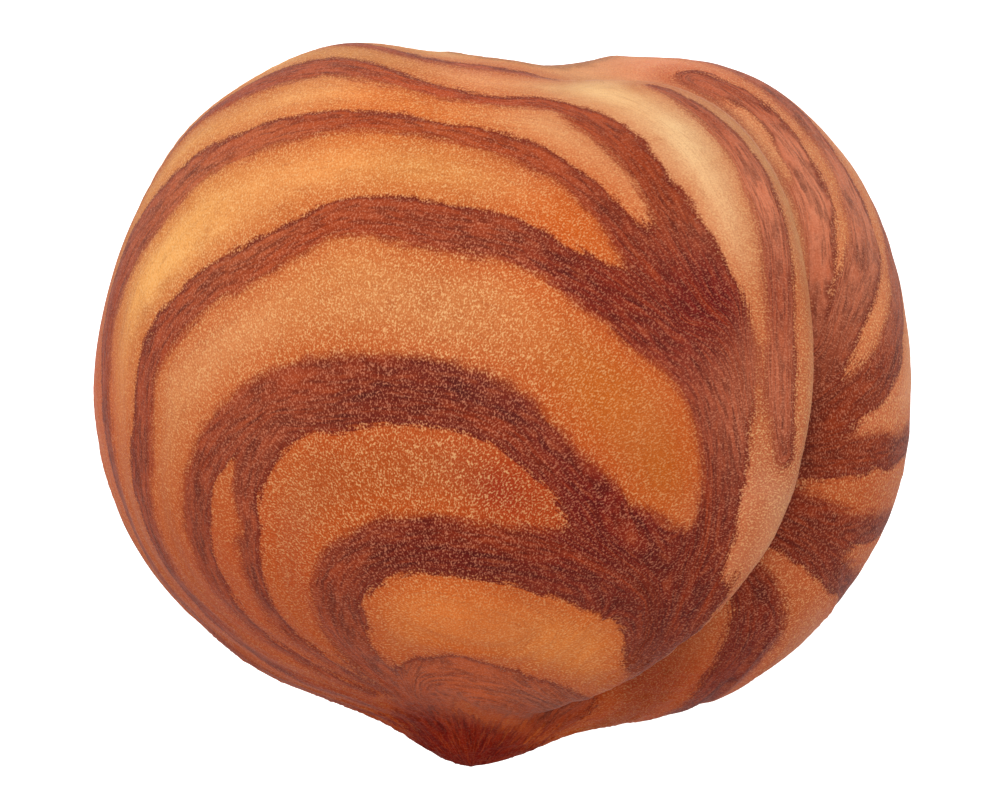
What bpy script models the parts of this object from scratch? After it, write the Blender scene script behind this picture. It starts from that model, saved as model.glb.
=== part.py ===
"""A hazelnut kernel, one grown piece, lying on its flank on a small flat spot.

Metres, +Z up. The pointed tip is towards -Y and the blunt base towards +Y. The origin is the
middle of the flat resting spot. Sizes below are in millimetres, and angles in degrees.

The shape is four profile boards round the axis from tip to base: each gives the distance from
the kernel's heart to its skin at a latitude, -90 being the tip and 90 the base. Longitude 0
faces up, 90 is the kernel's right side, 180 its underside and -90 its left side. Between two
boards each ring is a quarter of an ellipse. Two seams are then pressed in: a deep one, where
one half of the seed is folded over the other, and a shallow one on the back.
"""

import math

import bmesh
import bpy
from mathutils import Vector

MM = 0.001

# Profile boards: (latitude, radius). The tip and the base are common to all four.
RIGHT_BOARD = (
    (-90, 6.75), (-85, 6.55), (-78, 6.3), (-70, 6.3), (-58, 6.55), (-45, 6.9), (-15, 7.55),
    (15, 7.9), (40, 8.2), (60, 8.05), (75, 7.3), (90, 6.65),
)  # fmt: skip
LEFT_BOARD = (
    (-90, 6.75), (-85, 6.6), (-78, 6.3), (-70, 6.2), (-45, 6.8), (-15, 7.55),
    (15, 7.85), (40, 8.05), (60, 7.75), (75, 7.0), (90, 6.65),
)  # fmt: skip
TOP_BOARD = (
    (-90, 6.75), (-85, 6.5), (-72, 6.1), (-50, 6.3), (-20, 6.75), (20, 6.9), (50, 7.05),
    (75, 6.85), (90, 6.65),
)  # fmt: skip
UNDER_BOARD = (
    (-90, 6.75), (-85, 6.5), (-72, 6.0), (-50, 6.15), (-20, 6.5), (20, 6.7), (50, 6.95),
    (75, 6.85), (90, 6.65),
)  # fmt: skip

# Seams, from base to tip: (latitude, longitude, depth) along the bottom line. On a seam's near
# side the skin drops in over the first width, and on its far side it rises over the second.
DEEP_SEAM = (
    (70, -8, 0.0), (70, 12, 0.1), (69, 33, 0.15), (63, 52, 0.2), (49, 59, 0.25), (27, 59, 0.5),
    (8, 59, 0.95), (-12, 58, 1.3), (-32, 54, 1.3), (-48, 52, 1.1), (-60, 47, 0.7), (-68, 38, 0.3),
    (-74, 22, 0.0),
)  # fmt: skip
DEEP_SEAM_WIDTHS = (0.6, 2.0)
BACK_SEAM = ((72, -120, 0.0), (40, -125, 0.3), (0, -128, 0.35), (-40, -125, 0.25), (-72, -120, 0.0))
BACK_SEAM_WIDTHS = (1.1, 1.3)
POINTS_PER_SEAM_SPAN = 8

# Broad dents: (latitude, longitude, depth, reach).
DENTS = (
    (-35, -150, 0.2, 2.4),
    (35, 150, 0.2, 2.0),
)

# The resting spot is cut square across, this far below the heart, around this point.
REST_DEPTH = 6.4
REST_CENTRE = (0.0, 0.3)

CELLS_ACROSS_A_SIDE = 26

SKIN_COLOUR = (0.55, 0.15, 0.05, 1.0)
SKIN_ROUGHNESS = 0.5


def along(points, at):
    """The value at a place on a smooth curve through (place, value) points."""
    last = len(points) - 1
    i = next((k for k in range(last) if at <= points[k + 1][0]), last - 1)
    (p0, v0), (p1, v1) = points[i], points[i + 1]

    def slope(k):
        if k in (0, last):
            return 0.0
        return (points[k + 1][1] - points[k - 1][1]) / (points[k + 1][0] - points[k - 1][0])

    span = p1 - p0
    t = (at - p0) / span
    rise = v0 + (v1 - v0) * t * t * (3 - 2 * t)
    return rise + span * t * (1 - t) * (slope(i) * (1 - t) - slope(i + 1) * t)


def angles(direction):
    """(latitude, longitude) of a unit direction from the heart."""
    latitude = math.degrees(math.asin(max(-1.0, min(1.0, direction.y))))
    return latitude, math.degrees(math.atan2(direction.x, direction.z))


def towards(latitude, longitude):
    lat, lon = math.radians(latitude), math.radians(longitude)
    return Vector((math.cos(lat) * math.sin(lon), math.sin(lat), math.cos(lat) * math.cos(lon)))


def boards_radius(latitude, longitude):
    """Distance from the heart to the skin before anything is pressed in."""
    c, s = math.cos(math.radians(longitude)), math.sin(math.radians(longitude))
    upright = along(TOP_BOARD if c > 0 else UNDER_BOARD, latitude)
    sideways = along(RIGHT_BOARD if s > 0 else LEFT_BOARD, latitude)
    return 1 / math.sqrt((c / upright) ** 2 + (s / sideways) ** 2)


def seam_path(seam):
    """Closely set (direction, depth) pairs along a seam."""
    places = list(range(len(seam)))
    latitudes, longitudes, depths = (list(zip(places, values)) for values in zip(*seam))
    path = []
    for step in range(places[-1] * POINTS_PER_SEAM_SPAN + 1):
        at = step / POINTS_PER_SEAM_SPAN
        direction = towards(along(latitudes, at), along(longitudes, at))
        path.append((direction, along(depths, at)))
    return path


def seam_press(path, widths, direction, radius):
    """How far a seam presses the skin in at a direction from the heart."""
    place = max(range(1, len(path) - 1), key=lambda k: direction.dot(path[k][0]))
    (before, depth_before), (foot, depth), (after, depth_after) = path[place - 1 : place + 2]
    onward = after - before
    share = max(-0.5, min(0.5, (direction - foot).dot(onward) / onward.length_squared))
    depth += share * (depth_after - depth_before)
    near_side = onward.cross(foot).normalized()
    away = math.asin(direction.dot(near_side))
    width = widths[0] if away > 0 else widths[1]
    return depth * math.exp(-((away * radius / width) ** 2))


def skin_radius(direction):
    """Distance from the heart to the finished skin, in millimetres."""
    latitude, longitude = angles(direction)
    radius = boards_radius(latitude, longitude)
    pressed = seam_press(DEEP_PATH, DEEP_SEAM_WIDTHS, direction, radius)
    pressed += seam_press(BACK_PATH, BACK_SEAM_WIDTHS, direction, radius)
    for dent_latitude, dent_longitude, depth, reach in DENTS:
        away = direction.angle(towards(dent_latitude, dent_longitude)) * radius
        pressed += depth * math.exp(-((away / reach) ** 2))
    return radius - pressed


DEEP_PATH = seam_path(DEEP_SEAM)
BACK_PATH = seam_path(BACK_SEAM)


def even_ball(cells):
    """A bmesh ball of unit radius: a cube of square cells, blown up so that they stay even."""
    bm = bmesh.new()
    bmesh.ops.create_cube(bm, size=2.0)
    bmesh.ops.subdivide_edges(bm, edges=bm.edges[:], cuts=cells - 1, use_grid_fill=True)
    for vertex in bm.verts:
        vertex.co = Vector([math.tan(c * math.pi / 4) for c in vertex.co]).normalized()
    return bm


def flatten_resting_spot(bm):
    """Cuts the lowest sliver off square, and puts the cut's middle at the origin."""
    geometry = bm.verts[:] + bm.edges[:] + bm.faces[:]
    cut = bmesh.ops.bisect_plane(
        bm, geom=geometry, plane_co=(0, 0, -REST_DEPTH), plane_no=(0, 0, -1), clear_outer=True
    )
    rim = [item for item in cut["geom_cut"] if isinstance(item, bmesh.types.BMEdge)]
    bmesh.ops.contextual_create(bm, geom=rim)
    middle = Vector((*REST_CENTRE, -REST_DEPTH))
    bmesh.ops.translate(bm, verts=bm.verts[:], vec=-middle)


def skin_material():
    material = bpy.data.materials.new("skin")
    material.use_nodes = True
    shader = material.node_tree.nodes["Principled BSDF"]
    shader.inputs["Base Color"].default_value = SKIN_COLOUR
    shader.inputs["Roughness"].default_value = SKIN_ROUGHNESS
    shader.inputs["Metallic"].default_value = 0.0
    return material


def make_kernel():
    bm = even_ball(CELLS_ACROSS_A_SIDE)
    for vertex in bm.verts:
        vertex.co *= skin_radius(vertex.co)
    flatten_resting_spot(bm)
    bmesh.ops.scale(bm, verts=bm.verts[:], vec=(MM, MM, MM))
    bmesh.ops.recalc_face_normals(bm, faces=bm.faces[:])
    mesh = bpy.data.meshes.new("kernel")
    bm.to_mesh(mesh)
    bm.free()
    mesh.materials.append(skin_material())
    mesh.shade_smooth()
    kernel = bpy.data.objects.new("kernel", mesh)
    bpy.context.scene.collection.objects.link(kernel)
    return kernel


for thing in list(bpy.data.objects):
    bpy.data.objects.remove(thing)
make_kernel()
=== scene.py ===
import math

import bmesh
import bpy
import numpy as np
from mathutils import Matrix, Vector, noise


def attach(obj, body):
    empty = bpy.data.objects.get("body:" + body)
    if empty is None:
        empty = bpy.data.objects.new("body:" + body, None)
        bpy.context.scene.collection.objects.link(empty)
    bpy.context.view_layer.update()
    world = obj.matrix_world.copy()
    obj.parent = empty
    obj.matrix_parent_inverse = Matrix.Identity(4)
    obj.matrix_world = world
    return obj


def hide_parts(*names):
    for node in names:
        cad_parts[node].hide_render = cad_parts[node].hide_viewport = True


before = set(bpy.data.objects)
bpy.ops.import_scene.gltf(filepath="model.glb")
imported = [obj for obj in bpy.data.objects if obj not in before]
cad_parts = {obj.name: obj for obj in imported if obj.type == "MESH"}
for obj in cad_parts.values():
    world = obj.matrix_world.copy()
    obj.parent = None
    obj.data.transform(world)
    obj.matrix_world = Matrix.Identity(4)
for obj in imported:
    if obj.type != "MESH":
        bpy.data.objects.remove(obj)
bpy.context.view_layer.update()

# ------------------------------------------------------------------------------------ the kernel
# One shelled hazelnut: pale flesh of two halves, folded together along a deep seam, in a papery
# brown skin that grew on it. The skin's veins sweep from the blunt base round to the pointed tip
# as dark bands between tan islands.

MM = 0.001
HEART = Vector((0.0, -0.3, 6.4)) * MM  # the middle of the seed, in the frame
SKIN_LEVELS = 2
FLATTISH = math.radians(60)  # two triangles that meet flatter than this are halves of one square


def fine_skin_mesh():
    """The design's kernel as even square cells, cut finer and smoothed."""
    bm = bmesh.new()
    bm.from_mesh(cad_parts["kernel"].data)
    bmesh.ops.remove_doubles(bm, verts=bm.verts[:], dist=0.001 * MM)
    bmesh.ops.join_triangles(
        bm, faces=bm.faces[:], angle_face_threshold=FLATTISH, angle_shape_threshold=FLATTISH
    )
    rough = bpy.data.meshes.new("rough skin")
    bm.to_mesh(rough)
    bm.free()
    holder = bpy.data.objects.new("rough skin", rough)
    bpy.context.scene.collection.objects.link(holder)
    finer = holder.modifiers.new("finer", "SUBSURF")
    finer.levels = finer.render_levels = SKIN_LEVELS
    fine = bpy.data.meshes.new_from_object(holder.evaluated_get(bpy.context.evaluated_depsgraph_get()))
    bpy.data.objects.remove(holder)
    return fine


# Lines on the skin are lists of stops (latitude, longitude, half width), in degrees seen from the
# heart: latitude -90 is the tip and 90 the base, longitude 0 faces up and 90 to the right.
STEPS_BETWEEN_STOPS = 8


def headings(latitudes, longitudes):
    """Unit directions from the heart."""
    lat, lon = np.radians(latitudes), np.radians(longitudes)
    return np.stack([np.cos(lat) * np.sin(lon), np.sin(lat), np.cos(lat) * np.cos(lon)], axis=-1)


def drawn(stops):
    """Close points on a smooth line through the stops: (heading, value) rows."""
    table = np.array(stops, float)
    knots = np.hstack([headings(table[:, 0], table[:, 1]), table[:, 2:]])
    knots = np.vstack([2 * knots[0] - knots[1], knots, 2 * knots[-1] - knots[-2]])
    rows = []
    for p0, p1, p2, p3 in zip(knots, knots[1:], knots[2:], knots[3:]):
        for t in np.arange(STEPS_BETWEEN_STOPS) / STEPS_BETWEEN_STOPS:
            bend = (2 * p0 - 5 * p1 + 4 * p2 - p3) * t * t + (3 * p1 - p0 - 3 * p2 + p3) * t**3
            rows.append(0.5 * (2 * p1 + (p2 - p0) * t + bend))
    rows = np.array(rows + [knots[-2]])
    rows[:, :3] /= np.linalg.norm(rows[:, :3], axis=1)[:, None]
    return rows


class Line:
    """Where every skin point stands to a drawn line, in degrees."""

    def __init__(self, stops, ways):
        rows = drawn(stops)
        path, last = rows[:, :3], len(rows) - 1
        nearest = np.argmax(ways @ path.T, axis=1)
        onward = path[np.minimum(nearest + 1, last)] - path[np.maximum(nearest - 1, 0)]
        foot = path[nearest]
        side = np.cross(onward, foot)
        side /= np.linalg.norm(side, axis=1)[:, None]
        self.side = side
        past_end = (nearest == 0) | (nearest == last)
        straight = np.degrees(np.arccos(np.clip(np.sum(ways * foot, axis=1), -1, 1)))
        self.path = path
        self.across = np.degrees(np.arcsin(np.clip(np.sum(ways * side, axis=1), -1, 1)))
        self.away = np.where(past_end, straight, np.abs(self.across))
        self.value = rows[nearest, 3]
        self.edge = self.away - self.value


def gap_between(line, other):
    """The usual distance between two lines, in degrees."""
    nearest = np.max(line.path @ other.path.T, axis=1)
    return np.degrees(np.mean(np.arccos(np.clip(nearest, -1, 1))))


# The dark bands, from the outermost inwards. Each runs from the tip up the left flank, over the
# top and down the right side, or as much of that as it has.
BANDS = {
    "crown": (
        (46, -113, 1.0), (53, -107, 1.2), (58, -100, 1.2), (62, -80, 1.6), (66, -50, 1.6),
        (69, -20, 1.6), (69, 10, 1.2),
    ),
    "ridge": (
        (61, 41, 1.2), (54, 45, 2.2), (46, 48, 2.8), (38, 48, 3.2), (30, 47.5, 3.0), (22, 46, 3.0),
        (14, 45, 3.2), (6, 45, 3.2), (-2, 47, 2.2),
    ),
    "outer": (
        (-76, -84, 1.2), (-58, -96, 1.5), (-38, -101, 1.8), (-18, -99, 1.6), (0, -93, 1.3),
        (15, -88, 1.5), (30, -85, 1.5), (40, -81, 2.3), (47, -74, 3.3), (52, -67, 3.5),
        (55.5, -58, 3.2), (57, -46, 2.4), (57, -33, 2.1), (56.5, -21, 1.9), (56.5, -9, 1.8),
        (57, 1, 1.9), (56, 9, 2.2), (52.5, 16, 3), (47.5, 21.5, 3.4), (41, 26, 3.6), (35, 29, 4),
        (29, 32, 4.5), (22, 35, 5),
    ),
    "second": (
        (-74, -58, 1.2), (-60, -70, 1.4), (-50, -77, 1.6), (-40, -81, 1.8), (-32, -81, 2),
        (-23, -80, 2), (-15, -78, 2), (-8, -77, 2), (0, -77, 2), (6, -78, 2.6), (13, -78, 3.6),
        (20, -76, 4.3), (26, -71.5, 3.9), (32, -66, 3.3), (36, -60, 3), (40, -53, 3),
        (43, -46, 2.7), (45.5, -38, 2.4), (47, -30, 2.2), (47, -20, 2.2), (46.5, -10, 2.5),
        (44.5, 0, 2.9), (40.5, 9, 2.4), (36, 14.5, 2.4), (31, 19, 3), (25, 24, 4.5), (18, 29, 6),
    ),
    "third": (
        (-74, -44, 1.2), (-62, -52, 1.2), (-54, -60, 1.3), (-46, -66, 1.5), (-38, -69, 1.8),
        (-30, -69.5, 2), (-22, -68, 2.3), (-15, -66.5, 2.6), (-10, -65, 3), (-5, -63.5, 2.8),
        (0, -63, 2.8), (5, -61.5, 3.1), (10, -57.5, 3.4), (15.5, -51, 3.4), (20, -44, 3.5),
        (25, -37, 3.3), (28.8, -30, 3.3), (29.5, -20, 4), (29, -10, 4.3), (27.8, 0, 3.7),
        (24.5, 8, 3.5), (21, 15, 4.5), (17, 23, 6), (12, 30, 5.6), (5, 34, 4.8), (-3, 36.4, 4.2),
        (-11, 38, 4), (-18, 38.5, 5), (-26, 38, 5), (-36, 39, 3), (-46, 40, 1.5),
    ),
    "fourth": (
        (-60, -40, 1.0), (-52, -48, 1.2), (-44, -54, 1.4), (-37, -56.5, 1.8), (-30, -56.5, 2.3),
        (-24, -55.5, 2.6), (-18, -53.5, 3), (-12, -50.5, 3), (-7, -46, 3.5), (-3, -40, 4.8),
        (0, -33, 5.5), (1.5, -26, 5.8), (2.8, -18, 5.5), (2.4, -8, 5.2), (0, 1, 4.8), (-6, 9, 4),
        (-11.5, 15, 4.6), (-17, 20, 6), (-22, 28, 8), (-27, 33, 7), (-34, 35.5, 4), (-43, 37, 1.5),
    ),
    "fourth inner": (
        (-58, -36, 1.2), (-50, -42, 1.3), (-42, -46, 1.5), (-36, -47, 1.7), (-30, -45.8, 1.9),
        (-25, -44.5, 2.1), (-20, -42.5, 2.2), (-15, -42, 2.5), (-10, -40, 3.4), (-4, -36, 4),
    ),
    "fifth": (
        (-66, -24, 2.6), (-58, -27, 3.2), (-50, -30, 3.8), (-43, -31, 4.2), (-36.5, -30, 4.6),
        (-31, -28.5, 4.4), (-26, -24, 4.8), (-22.5, -17, 5.2), (-21.5, -10, 5), (-22, -3, 5),
        (-22.3, 5, 5.3), (-23, 12, 6), (-25, 20, 6), (-28, 28, 6), (-34, 32, 3), (-41, 34, 1),
    ),
    # The last band, below the lowest island, is partly dark skin and partly painted shade towards the
    # tip.
    "last": (
        (-66, -24, 5), (-56, -16, 7), (-53.5, -8, 8), (-54.5, 0, 8), (-56, 8, 8), (-58, 16, 8),
        (-60.5, 25, 8), (-64, 36, 8), (-69, 50, 7),
    ),
}
CRISP_INSIDE = ("fourth", "fourth inner", "fifth")  # the other bands are crisp on their outer side
# Dark fields that join the bands on the right side, and the dark tip, which is partly the skin's own
# colour and partly painted shade.
FIELDS = {
    "right field": (
        (28, 29, 4.5), (21, 32, 6.5), (13, 35.5, 5.6), (5, 36, 4.4), (-4, 37, 3.8), (-13, 38, 4),
        (-21, 37, 7), (-28, 38, 6), (-33, 40, 4),
    ),
    "tip": ((-88, 0, 13), (-80, -15, 12), (-74, -24, 9)),
}
# Bands on the folded-over half, from the base down. Each leaves the seam towards the right.
FOLD_BANDS = {
    "fold first": (
        (62, 62, 3), (54, 64, 4), (46, 65, 4.5), (38, 65, 4), (31, 63.5, 3), (24, 62, 2.5),
        (16, 61.5, 2),
    ),
    "fold second": (
        (79, 120, 2), (68, 98, 3), (58, 84, 3.5), (50, 80, 3), (42, 79, 2.5), (35, 77, 3.5),
        (28, 74, 4), (22, 69, 4), (15, 65, 3.5), (8, 62.5, 3),
    ),
    "fold third": (
        (78, 148, 2), (64, 122, 3), (54, 112, 3.4), (44, 102, 3.2), (34, 92, 3), (26, 85, 3),
        (19, 81, 3.2), (13, 76.5, 3.6), (8, 71, 3.8), (4, 65, 4), (1, 60.5, 3),
    ),
    "fold fourth": (
        (77, 172, 2), (60, 145, 3.4), (40, 126, 3.8), (22, 112, 3.2), (9, 101, 2.5), (3, 92, 2.2),
        (0.5, 82, 2.4), (-1, 74, 3), (-2.5, 66, 3.6), (-4, 60, 3),
    ),
    "fold fifth": (
        (50, 160, 1.5), (32, 148, 3), (14, 132, 3.6), (0, 115, 3), (-8, 100, 2), (-10, 90, 2),
        (-12, 80, 2.5), (-13.5, 72, 4), (-12, 64, 4), (-11, 60, 3),
    ),
    "fold sixth": (
        (10, 158, 1.5), (-6, 140, 3), (-18, 120, 3.4), (-23, 104, 3), (-23, 94, 2.5),
        (-21, 86, 2.5), (-20, 78, 2.8), (-17, 71, 4), (-15, 64, 4),
    ),
    "fold seventh": (
        (-34, 150, 1.5), (-48, 132, 3), (-56, 112, 3.4), (-55, 98, 3.2), (-50, 88, 3.5),
        (-44, 80, 4), (-38, 75, 4.5), (-33, 71, 4.5), (-28, 66, 4), (-24, 60, 3),
    ),
}
# Light slivers that cut through dark places.
SLIVERS = {
    "cream crescent": (
        (66, 4, 0.8), (64.5, 14, 2.2), (61, 23, 3.4), (56, 29.5, 4.2), (50, 33, 4.6),
        (45, 35.5, 4.8), (40, 37, 4.7), (35, 38.2, 4.0), (30, 38.8, 3.2), (25, 40, 2.0),
        (20, 41, 1.2), (15, 42, 0.6),
    ),
    "fold light": ((56, 61, 0.4), (52, 62, 1.2), (48, 62, 1.3), (44, 62, 1.0), (41, 62, 0.4)),
    "ridge light": (
        (2, 41.5, 0.8), (-4, 42.5, 1.8), (-10, 43, 2.4), (-16, 43.5, 2.0), (-22, 43, 1.0),
    ),
}

UNDERSIDE_LONGITUDES = range(158, 258, 24)
UNDERSIDE_LATITUDES = range(-76, 80, 17)
# How far a band bows aside or swells, in degrees, and its phase's growth per degree of latitude
# and from band to band.
BOW, BOW_TURN, BOW_STEP = 10, 1.5, 35
SWELL, SWELL_TURN, SWELL_STEP = 1.4, 2.1, 75
UNDERSIDE_HALF_WIDTH = 3.6
NARROWING = 0.85


def underside_bands():
    """The bands on the side away from the fold: each bows a little between tip and base."""
    bands = {}
    for number, longitude in enumerate(UNDERSIDE_LONGITUDES):
        stops = []
        for latitude in UNDERSIDE_LATITUDES:
            bow = BOW * math.cos(math.radians(latitude * BOW_TURN + BOW_STEP * number))
            swell = math.sin(math.radians(latitude * SWELL_TURN + SWELL_STEP * number))
            narrowing = math.cos(math.radians(latitude * NARROWING))
            half_width = (UNDERSIDE_HALF_WIDTH + SWELL * swell) * narrowing
            stops.append((latitude, longitude + bow, half_width))
        bands[f"underside {number + 1}"] = tuple(stops)
    return bands


# Colours of the ground between the bands and of the bands, at spots on the skin:
# (latitude, longitude, red, green, blue) as 0 to 255 screen values. Besides the skin's own
# colours they hold painted light and shade: spots towards the base are lighter and spots
# towards the tip darker, for the way the light falls.
LIT_GROUND_COLOURS = (
    (52, -30, 252, 148, 72), (20, -68, 255, 182, 102), (37, -20, 226, 150, 84),
    (30, 10, 216, 108, 46), (5, -50, 218, 137, 86), (15, -12, 206, 126, 74), (5, 15, 194, 100, 42),
    (-6, 27, 186, 94, 40), (-12, -20, 176, 82, 42), (-12, 5, 146, 40, 4), (-33, -8, 224, 122, 60),
    (-38, 20, 222, 128, 64), (0, -88, 214, 104, 62), (-40, -60, 168, 86, 60),
    (-30, -40, 182, 84, 50), (60, 24, 255, 206, 146), (48, 40, 255, 214, 158),
    (34, 43, 240, 184, 132), (15, 50, 224, 144, 98), (-10, 43, 220, 150, 112),
    (20, 78, 246, 164, 112), (5, 80, 232, 150, 106), (-8, 75, 190, 98, 64), (-24, 75, 196, 108, 72),
    (-55, 65, 150, 58, 26), (66, 60, 250, 154, 112), (68, -20, 255, 168, 114),
    (62, -60, 255, 190, 118), (-62, 0, 146, 66, 40), (-64, 30, 156, 78, 48),
    (-68, -50, 140, 60, 36), (-56, 14, 180, 88, 52), (86, 0, 222, 160, 118), (0, 140, 200, 115, 66),
    (0, -150, 205, 122, 72), (50, 180, 214, 135, 84), (-50, 180, 170, 86, 52),
)  # fmt: skip
LIT_BAND_COLOURS = (
    (57, -20, 198, 86, 48), (40, -82, 176, 74, 42), (47, -20, 178, 82, 46), (0, -78, 168, 76, 48),
    (0, -63, 165, 74, 48), (32, -60, 196, 104, 66), (29, -15, 156, 68, 44), (21, 15, 128, 46, 26),
    (-9, -44, 154, 72, 50), (2, -12, 106, 42, 32), (-14, 18, 114, 38, 20), (-22, -5, 113, 42, 30),
    (20, 33, 116, 36, 14), (-25, 34, 119, 45, 30), (-80, -10, 126, 40, 18), (-54, 4, 188, 88, 50),
    (-60, 22, 156, 76, 50), (40, 29, 154, 66, 40), (38, 48, 216, 128, 94), (10, 45, 192, 106, 76),
    (0, 68, 132, 54, 34), (40, 68, 218, 132, 98), (60, 80, 190, 100, 70), (-14, 70, 128, 50, 32),
    (-35, 72, 124, 46, 26), (68, -10, 196, 98, 64), (0, 140, 140, 64, 42), (0, -150, 146, 68, 44),
)  # fmt: skip
# How thickly the skin is flecked, at spots: (latitude, longitude, amount).
FLECKED = (
    (15, -12, 1.0), (37, -20, 0.8), (20, -62, 0.9), (52, -30, 0.75), (-12, -10, 0.9), (-5, 26, 0.4),
    (-35, 0, 0.35), (-38, 20, 0.5), (60, 24, 0.25), (48, 38, 0.5), (0, 45, 0.9), (10, 80, 0.8),
    (-10, 70, 0.7), (-25, 75, 0.8), (20, 33, 0.6), (-14, 20, 0.8), (-22, -5, 0.9), (2, -12, 0.9),
    (-40, -60, 0.3), (0, -80, 0.4), (-75, 0, 0.15), (-50, 72, 0.3), (60, 70, 0.6), (0, 180, 0.7),
)  # fmt: skip
JOIN_SOFTNESS = 0.8  # degrees over which two bands flow together
SPOT_REACH = 6.0  # degrees within which a colour spot rules
SPOT_FALL = -4.0  # the power with which a spot's rule falls off beyond that
SHEEN = 0.016  # how much light the room's gloss adds to the skin's own colour
DEEPEST = 0.0015


def pigment(screen):
    """The skin's own colour, under the sheen that the white room lays over it."""
    share = np.asarray(screen, float) / 255
    seen = np.where(share <= 0.04045, share / 12.92, ((share + 0.055) / 1.055) ** 2.4)
    return np.maximum(seen - SHEEN, DEEPEST)


def tint(screen):
    return (*pigment(screen), 1.0)


def joined(edges):
    """One smooth edge distance for several dark places."""
    return -JOIN_SOFTNESS * np.log(sum(np.exp(-np.clip(e, -40, 40) / JOIN_SOFTNESS) for e in edges))


def spot_weights(spots, ways):
    """How much each spot rules at every skin point."""
    away = np.degrees(np.arccos(np.clip(ways @ headings(spots[:, 0], spots[:, 1]).T, -1, 1)))
    weights = (away + SPOT_REACH) ** SPOT_FALL
    return weights / weights.sum(axis=1)[:, None]


# The seam between the two halves, base to tip: (latitude, longitude, depth in millimetres). It
# sharpens the design's own seam, which is broader.
SEAM = (
    (70, -8, 0.0), (70, 12, 0.03), (69, 33, 0.05), (63, 52, 0.07), (49, 59, 0.08), (27, 59, 0.15),
    (8, 59, 0.3), (-12, 58, 0.4), (-32, 54, 0.4), (-48, 52, 0.35), (-60, 47, 0.25), (-68, 38, 0.1),
    (-74, 22, 0.0),
)  # fmt: skip
SEAM_WIDTHS = (0.22, 0.5)  # millimetres, on its near side and on its far side
SEAM_RULE = 8  # degrees from the seam beyond which its depth tints nothing
LIP_PLACE, LIP_WIDTH, LIP_SHARE = 0.75, 0.45, 0.10 / 0.4  # the raised lip on the near side

# The round scar at the base, where the kernel hung in its shell, in millimetres.
BASE_WIDTH, BASE_DEPTH, BASE_REACH = 1.5, 0.1, 0.9
BASE_RIM_SHARE, BASE_RIM_WIDTH = 0.6, 0.3

# Swells and ripples, heights in millimetres. A ripple's length is in millimetres across the veins.
SWELL_LENGTH = 2.2 * MM
SWELL_HEIGHT = 0.05
RIPPLE_LENGTH = 0.42
RIPPLE_HEIGHT = 0.05
RIPPLE_ALONG = 1.5  # how quickly a ripple changes along its vein
TIP_VEIN_CROWDING = 0.45  # how closely the veins lie round the tip
TIP_LATITUDE, TIP_BLEND = -56, 12  # where the veins start to gather, and over how many degrees


def along_the_bands(lines, count):
    """Per point: the vein's number, how far it is to a band's feathered side, and the way across."""
    # A vein's number grows evenly from one band to the next.
    veins = np.zeros(count)
    feathered = np.zeros(count)
    crosswise = np.zeros((count, 3))
    total = np.zeros(count)
    number, before = 0.0, None
    for name, line in lines.items():
        if before is not None:
            number += gap_between(line, before)
        weight = (line.away + 1.0) ** -3.0
        veins += weight * (number + line.across)
        soft_side = -1 if name in CRISP_INSIDE else 1
        feathered += weight * soft_side * np.clip(line.across / line.value, -1, 1)
        crosswise += weight[:, None] * line.side
        total += weight
        before = line
    crosswise /= np.linalg.norm(crosswise, axis=1)[:, None]
    return veins / total, feathered / total, crosswise


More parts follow.
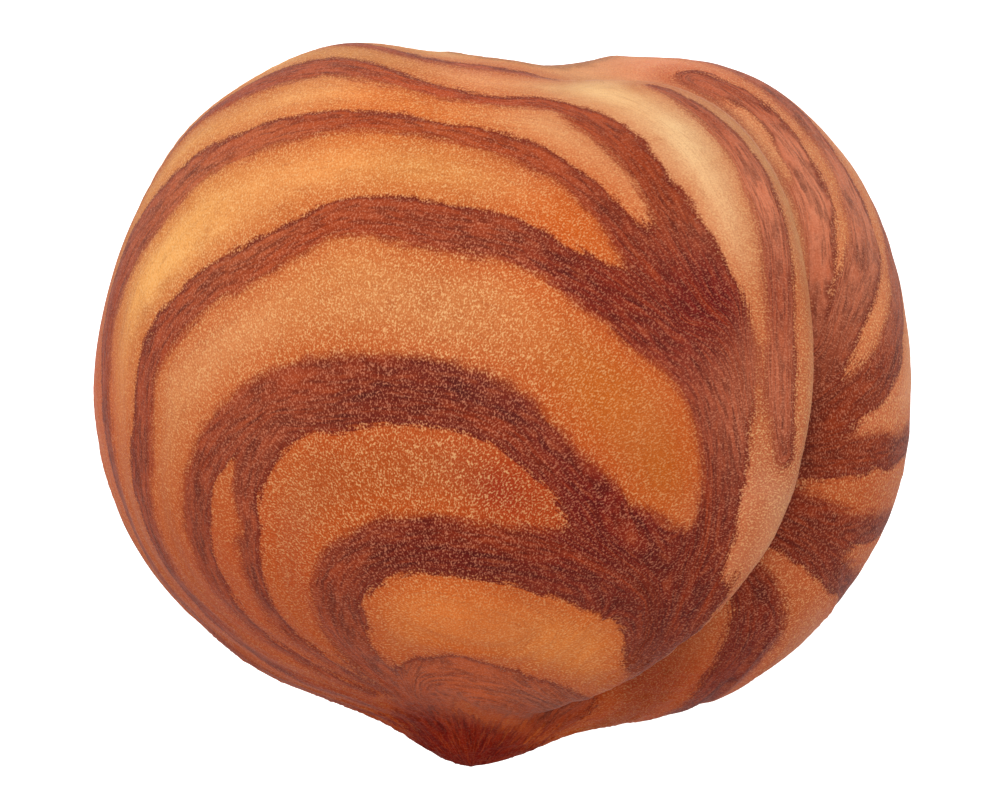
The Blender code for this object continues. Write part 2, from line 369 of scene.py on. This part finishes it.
def make_kernel_mesh():
    mesh = fine_skin_mesh()
    count = len(mesh.vertices)
    places = np.empty(count * 3)
    mesh.vertices.foreach_get("co", places)
    places = places.reshape(-1, 3)
    out = places - np.array(HEART)
    radius = np.linalg.norm(out, axis=1)
    ways = out / radius[:, None]
    latitude = np.degrees(np.arcsin(ways[:, 1]))
    mm_per_degree = radius / MM * math.pi / 180

    bands = BANDS | FOLD_BANDS | underside_bands()
    lines = {name: Line(stops, ways) for name, stops in bands.items()}
    fields = [Line(stops, ways) for stops in FIELDS.values()]
    dark = joined([line.edge for line in lines.values()] + [field.edge for field in fields])
    light = joined([Line(stops, ways).edge for stops in SLIVERS.values()])
    band_edge = -joined([-dark, light])
    veins, feathered, crosswise = along_the_bands(lines, count)

    seam = Line(SEAM, ways)
    seam_away = np.copysign(seam.away, seam.across) * mm_per_degree
    seam_width = np.where(seam_away > 0, *SEAM_WIDTHS)
    press = seam.value * np.exp(-((seam_away / seam_width) ** 2))
    lip = LIP_SHARE * seam.value * np.exp(-(((seam_away - LIP_PLACE) / LIP_WIDTH) ** 2))
    # The pale line along the seam shows on the base half, where the seam is shallow and yet not quite
    # level.
    shallow = np.clip(1.5 - seam.value / 0.2, 0, 1) * np.clip(seam.value / 0.05, 0, 1)
    pale_seam_share = np.clip(ways[:, 1] * 4, 0, 1) * shallow

    # Slow swells all over, and ripples along the veins, strongest at the tip and on the left flank.
    wrinkled = 0.3 + np.clip(-0.2 - ways[:, 1], 0, 0.5) * 1.4 + np.clip(-0.55 - ways[:, 0], 0, 0.4)
    swell = np.array([noise.noise(Vector(place) / SWELL_LENGTH) for place in out])
    ripple = np.array([
        noise.noise(Vector((number / RIPPLE_LENGTH, *way)))
        for number, way in zip(veins * mm_per_degree, ways[:, :2] * RIPPLE_ALONG)
    ])
    from_base = (90 - latitude) * mm_per_degree
    base_rim = np.exp(-(((from_base - BASE_WIDTH) / BASE_RIM_WIDTH) ** 2))
    dimple = BASE_DEPTH * (np.exp(-((from_base / BASE_REACH) ** 2)) - BASE_RIM_SHARE * base_rim)
    relief = SWELL_HEIGHT * swell + RIPPLE_HEIGHT * ripple * wrinkled - dimple
    out += ways * (relief + lip - press)[:, None] * MM
    places = out + np.array(HEART)
    places[:, 2] = np.maximum(places[:, 2], 0.0)
    mesh.vertices.foreach_set("co", places.ravel())

    usual_mm = mm_per_degree.mean()
    longitude = np.degrees(np.arctan2(ways[:, 0], ways[:, 2]))
    flecked_spots = np.array(FLECKED)
    for name, values in (
        ("band_edge", band_edge * mm_per_degree), ("veins", veins * usual_mm),
        ("tip_veins", longitude * TIP_VEIN_CROWDING * usual_mm),
        ("at_tip", np.clip((TIP_LATITUDE - latitude) / TIP_BLEND, 0, 1)),
        ("tip_near", 1 - np.clip((latitude + 90) / 60, 0, 1)),
        ("feathered", feathered), ("seam_away", seam_away),
        ("seam_depth", np.where(seam.away < SEAM_RULE, seam.value, 0)),
        ("pale_seam_share", pale_seam_share), ("from_base", from_base),
        ("flecked", spot_weights(flecked_spots, ways) @ flecked_spots[:, 2]),
    ):
        mesh.attributes.new(name, "FLOAT", "POINT").data.foreach_set("value", values.astype(np.float32))
    mesh.attributes.new("crosswise", "FLOAT_VECTOR", "POINT").data.foreach_set(
        "vector", crosswise.astype(np.float32).ravel()
    )
    for name, spots in (("lit_ground_colour", LIT_GROUND_COLOURS), ("lit_band_colour", LIT_BAND_COLOURS)):
        spots = np.array(spots, float)
        blend = spot_weights(spots, ways) @ pigment(spots[:, 2:])
        colours = np.hstack([blend, np.ones((count, 1))]).astype(np.float32)
        mesh.attributes.new(name, "FLOAT_COLOR", "POINT").data.foreach_set("color", colours.ravel())
    mesh.shade_smooth()
    return mesh


class Nodes:
    """Short hands for placing shader nodes: numbers are set on a socket, outputs are linked to it."""

    def __init__(self, tree):
        self.tree = tree

    def put(self, value, socket):
        if isinstance(value, bpy.types.NodeSocket):
            self.tree.links.new(value, socket)
        else:
            socket.default_value = value

    def attribute(self, name, output="Fac"):
        node = self.tree.nodes.new("ShaderNodeAttribute")
        node.attribute_name = name
        return node.outputs[output]

    def place(self):
        return self.tree.nodes.new("ShaderNodeTexCoord").outputs["Object"]

    def math(self, operation, *values):
        node = self.tree.nodes.new("ShaderNodeMath")
        node.operation = operation
        for value, socket in zip(values, node.inputs):
            self.put(value, socket)
        return node.outputs[0]

    def times(self, first, second):
        return self.math("MULTIPLY", first, second)

    def plus(self, first, second):
        return self.math("ADD", first, second)

    def swing(self, value, reach):
        """A noise of 0 to 1 as a swing either way."""
        return self.times(self.math("SUBTRACT", value, 0.5), reach)

    def far_from(self, value, middle):
        return self.math("ABSOLUTE", self.math("SUBTRACT", value, middle))

    def grade(self, value, low, high, to_low=0.0, to_high=1.0):
        """A smooth step from to_low to to_high as the value goes from low to high."""
        node = self.tree.nodes.new("ShaderNodeMapRange")
        node.interpolation_type = "SMOOTHSTEP"
        sockets = ("Value", "From Min", "From Max", "To Min", "To Max")
        for socket, item in zip(sockets, (value, low, high, to_low, to_high)):
            self.put(item, node.inputs[socket])
        return node.outputs[0]

    def mix(self, share, first, second, blend="MIX"):
        node = self.tree.nodes.new("ShaderNodeMix")
        node.data_type = "RGBA"
        node.blend_type = blend
        self.put(share, node.inputs[0])
        self.put(first, node.inputs[6])
        self.put(second, node.inputs[7])
        return node.outputs[2]

    def speckle(self, per_mm, detail=2.0, roughness=0.5, w=None):
        node = self.tree.nodes.new("ShaderNodeTexNoise")
        self.put(self.place(), node.inputs["Vector"])
        node.inputs["Scale"].default_value = per_mm / MM
        node.inputs["Detail"].default_value = detail
        node.inputs["Roughness"].default_value = roughness
        if w is not None:
            # The node multiplies W by its scale too, so that is taken out here.
            node.noise_dimensions = "4D"
            self.put(self.times(w, MM / per_mm), node.inputs["W"])
        return node.outputs[0]


def vein_noise(n, per_mm, detail, roughness, crowding):
    """Noise that is slow along the veins and quick across them. They draw together at the tip."""
    swept = n.speckle(per_mm, detail, roughness, w=n.times(n.attribute("veins"), crowding))
    gathered = n.speckle(per_mm, detail, roughness, w=n.times(n.attribute("tip_veins"), crowding))
    return n.plus(swept, n.times(n.math("SUBTRACT", gathered, swept), n.attribute("at_tip")))


def hair_flecks(n, per_mm, reach):
    """Speckles drawn out across the bands: the mean of three that lie a reach apart."""
    taps = []
    for step in (-1, 0, 1):
        shifted = n.tree.nodes.new("ShaderNodeVectorMath")
        shifted.operation = "MULTIPLY_ADD"
        n.put(n.attribute("crosswise", "Vector"), shifted.inputs[0])
        shifted.inputs[1].default_value = (step * reach,) * 3
        n.put(n.place(), shifted.inputs[2])
        tap = n.speckle(per_mm, 2.0, 0.6)
        n.put(shifted.outputs[0], tap.node.inputs["Vector"])
        taps.append(tap)
    return n.times(n.plus(n.plus(taps[0], taps[1]), taps[2]), 1 / 3)


# Veins: (per millimetre along, detail, roughness, crowding across).
BROAD_VEINS = (0.35, 2.0, 0.5, 1.6)
FINE_VEINS = (1.3, 3.0, 0.65, 7.0)
HAIRLINES = (2.2, 2.0, 0.6, 11.0)
# What lies on the skin besides the ground and the bands, as screen values.
RED_BORDER = (190, 78, 26)
GROUND_VEIN = (164, 70, 36)
GROUND_CLOUD = (190, 92, 42)
GROUND_HAIR = (160, 66, 34)
DARK_VEIN = (76, 26, 18)
WARM_VEIN = (168, 66, 34)
DARK_HAIR = (70, 24, 18)
LIGHT_HAIR = (190, 92, 56)
BAND_BORDER = (176, 70, 38)
RIM_LINE = (96, 36, 24)
PALE_SEAM_LINE = (232, 170, 140)
# painted shade on the floor of the deep seam
SEAM_SHADE_COLOUR = (74, 26, 16)
# painted highlight along the seam's lip
LIP_HIGHLIGHT = (226, 164, 132)
BASE_SCAR = ((166, 90, 46), (236, 172, 116))
BASE_SCAR_RIM = (112, 50, 30)
PALE_FLECKS_AND_GLINTS = ((252, 204, 142), (226, 146, 112))  # on the ground, and on the bands
PIT_SHADE = (0.62, 0.45, 0.36, 1.0)
FLECKS_PER_MM = 30.0
FLECK_REACH = 0.009 * MM
BUMP_HEIGHT = 0.04 * MM
BUMP_STRENGTH = 0.6


def skin_colour(n, flecks, fine_veins, tip_near):
    edge = n.attribute("band_edge")
    feathered = n.attribute("feathered")
    broad_veins = vein_noise(n, *BROAD_VEINS)
    hairlines = vein_noise(n, *HAIRLINES)
    cloud = n.speckle(0.7, 3.0)
    ragged = n.speckle(2.5, 3.0, 0.6)

    # One edge of each band is crisp, with a thin darker line; the other is feathered.
    wander = n.swing(fine_veins, n.grade(tip_near, 0.4, 0.9, 0.45, 3.0))
    edge = n.plus(n.plus(edge, wander), n.plus(n.swing(ragged, 0.22), n.swing(flecks, 0.25)))
    soft = n.plus(n.grade(feathered, -0.5, 0.7, 0.09, 0.16), n.times(tip_near, 0.3))
    dark = n.grade(edge, n.times(soft, -1.0), soft, 1.0, 0.0)
    line_near = n.grade(n.far_from(edge, -0.06), 0.0, 0.1, 0.6, 0.0)
    rim = n.times(line_near, n.grade(feathered, -0.2, 0.6, 1.0, 0.2))

    ground = n.attribute("lit_ground_colour", "Color")
    ground = n.mix(n.grade(edge, 0.05, 0.75, 0.52, 0.0), ground, tint(RED_BORDER))
    ground = n.mix(n.grade(fine_veins, 0.5, 0.75, 0.0, 0.3), ground, tint(GROUND_VEIN))
    ground = n.mix(n.grade(cloud, 0.35, 0.75, 0.0, 0.35), ground, tint(GROUND_CLOUD))
    ground = n.mix(n.grade(hairlines, 0.55, 0.75, 0.0, 0.25), ground, tint(GROUND_HAIR))
    band = n.attribute("lit_band_colour", "Color")
    band = n.mix(n.grade(fine_veins, 0.42, 0.66, 0.0, 0.5), band, tint(DARK_VEIN))
    band = n.mix(n.grade(broad_veins, 0.48, 0.7, 0.0, 0.4), band, tint(WARM_VEIN))
    band = n.mix(n.grade(hairlines, 0.48, 0.64, 0.0, 0.42), band, tint(DARK_HAIR))
    band = n.mix(n.grade(hairlines, 0.34, 0.47, 0.26, 0.0), band, tint(LIGHT_HAIR))
    band = n.mix(n.grade(edge, -0.22, 0.0, 0.0, 0.3), band, tint(BAND_BORDER))
    colour = n.mix(dark, ground, band)
    colour = n.mix(rim, colour, tint(RIM_LINE))

    # The seam: a pale line along its shallow upper part, and painted shade on its floor where it is
    # deep.
    seam_away = n.attribute("seam_away")
    pale_seam = n.grade(n.far_from(seam_away, 0.1), 0.02, 0.09, 0.65, 0.0)
    colour = n.mix(n.times(pale_seam, n.attribute("pale_seam_share")), colour, tint(PALE_SEAM_LINE))
    deep = n.grade(n.attribute("seam_depth"), 0.22, 0.38)
    painted_seam_shade = n.grade(n.far_from(seam_away, -0.25), 0.1, 0.6, 0.75, 0.0)
    colour = n.mix(n.times(painted_seam_shade, deep), colour, tint(SEAM_SHADE_COLOUR))
    # A painted highlight along the lip beside the deep seam, broken up by the hairlines.
    lip = n.times(n.grade(n.far_from(seam_away, 0.6), 0.1, 0.45, 0.45, 0.0), deep)
    colour = n.mix(n.times(lip, n.grade(hairlines, 0.4, 0.6)), colour, tint(LIP_HIGHLIGHT))

    # The scar at the base: a pale rough round with a darker rim.
    from_base = n.plus(n.attribute("from_base"), n.swing(ragged, 0.5))
    round_scar = n.grade(from_base, 1.1, 1.6, 0.65, 0.0)
    colour = n.mix(round_scar, colour, n.mix(cloud, tint(BASE_SCAR[0]), tint(BASE_SCAR[1])))
    scar_rim = n.grade(n.far_from(from_base, BASE_WIDTH), 0.05, 0.35, 0.35, 0.0)
    colour = n.mix(scar_rim, colour, tint(BASE_SCAR_RIM))

    # Pale flecks, partly the skin's own and partly painted glints, with painted shade in the pits
    # between them.
    flecked = n.attribute("flecked")
    lit = n.times(n.grade(flecks, 0.48, 0.66, 0.0, 0.6), flecked)
    colour = n.mix(lit, colour, n.mix(dark, tint(PALE_FLECKS_AND_GLINTS[0]), tint(PALE_FLECKS_AND_GLINTS[1])))
    pits = n.times(n.grade(flecks, 0.32, 0.52, 0.45, 0.0), flecked)
    return n.mix(pits, colour, PIT_SHADE, blend="MULTIPLY")


def skin_material():
    material = bpy.data.materials.new("hazelnut skin")
    material.use_nodes = True
    tree = material.node_tree
    shader = tree.nodes["Principled BSDF"]
    n = Nodes(tree)
    flecks = hair_flecks(n, FLECKS_PER_MM, FLECK_REACH)
    fine_veins = vein_noise(n, *FINE_VEINS)
    grain = n.speckle(14.0, 3.0, 0.65)
    tip_near = n.attribute("tip_near")
    n.put(skin_colour(n, flecks, fine_veins, tip_near), shader.inputs["Base Color"])

    bump = tree.nodes.new("ShaderNodeBump")
    bump.inputs["Strength"].default_value = BUMP_STRENGTH
    bump.inputs["Distance"].default_value = BUMP_HEIGHT
    height = n.plus(n.plus(n.times(grain, 0.4), n.times(flecks, 1.2)), fine_veins)
    n.put(height, bump.inputs["Height"])
    n.put(bump.outputs["Normal"], shader.inputs["Normal"])
    n.put(n.grade(grain, 0.3, 0.7, 0.4, 0.58), shader.inputs["Roughness"])
    # The dry tip doesn't shine.
    n.put(n.grade(tip_near, 0.3, 0.8, 0.11, 0.01), shader.inputs["Specular IOR Level"])
    return material


kernel_mesh = make_kernel_mesh()
kernel_mesh.materials.clear()
kernel_mesh.materials.append(skin_material())
kernel = bpy.data.objects.new("kernel_skin", kernel_mesh)
bpy.context.scene.collection.objects.link(kernel)
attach(kernel, "root")
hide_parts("kernel")

# ------------------------------------------------------------------------------------- the stage
# A plain pale floor under the kernel, wide enough to fill every view. It glows white where it is
# seen directly, and throws grey light on the kernel.
FLOOR_HALF_WIDTH = 0.6
FLOOR_GREY = (0.7, 0.7, 0.7, 1.0)
WHITE = (1.0, 1.0, 1.0, 1.0)

bm = bmesh.new()
bmesh.ops.create_grid(bm, x_segments=1, y_segments=1, size=FLOOR_HALF_WIDTH)
floor_mesh = bpy.data.meshes.new("floor")
bm.to_mesh(floor_mesh)
bm.free()
floor_material = bpy.data.materials.new("pale floor")
floor_material.use_nodes = True
floor_shader = floor_material.node_tree.nodes["Principled BSDF"]
floor_shader.inputs["Base Color"].default_value = FLOOR_GREY
floor_shader.inputs["Emission Color"].default_value = WHITE
seen_directly = floor_material.node_tree.nodes.new("ShaderNodeLightPath").outputs["Is Camera Ray"]
floor_material.node_tree.links.new(seen_directly, floor_shader.inputs["Emission Strength"])
floor_shader.inputs["Roughness"].default_value = 0.9
floor_shader.inputs["Specular IOR Level"].default_value = 0.0
floor_mesh.materials.append(floor_material)
floor = bpy.data.objects.new("floor", floor_mesh)
bpy.context.scene.collection.objects.link(floor)

# Soft light: a white room all round, and one wide panel above, beyond the base.
ROOM_STRENGTH = 0.78
PANEL_PLACE = Vector((-0.05, 0.14, 0.36))
PANEL_WIDTH = 0.3
PANEL_POWER = 0.7

world = bpy.data.worlds.new("white room")
world.use_nodes = True
world.node_tree.nodes["Background"].inputs["Color"].default_value = WHITE
world.node_tree.nodes["Background"].inputs["Strength"].default_value = ROOM_STRENGTH
bpy.context.scene.world = world

panel_light = bpy.data.lights.new("panel", "AREA")
panel_light.shape = "SQUARE"
panel_light.size = PANEL_WIDTH
panel_light.energy = PANEL_POWER
panel = bpy.data.objects.new("panel", panel_light)
panel.location = PANEL_PLACE
panel.rotation_euler = (HEART - PANEL_PLACE).to_track_quat("-Z", "Y").to_euler()
bpy.context.scene.collection.objects.link(panel)

# The camera looks straight down, turned a little, from far enough to show the outline truly.
CAMERA_PLACE = Vector((-0.00004, 0.0, 0.2436))
CAMERA_TURN = math.radians(4.844)
CAMERA_LENS = 450
SENSOR_WIDTH = 36
CLIP_START = 0.001

camera_data = bpy.data.cameras.new("camera")
camera_data.lens = CAMERA_LENS
camera_data.sensor_width = SENSOR_WIDTH
camera_data.clip_start = CLIP_START
camera = bpy.data.objects.new("camera", camera_data)
camera.location = CAMERA_PLACE
camera.rotation_euler = (0.0, 0.0, CAMERA_TURN)
bpy.context.scene.collection.objects.link(camera)
bpy.context.scene.camera = camera
bpy.context.scene.view_settings.view_transform = "Standard"
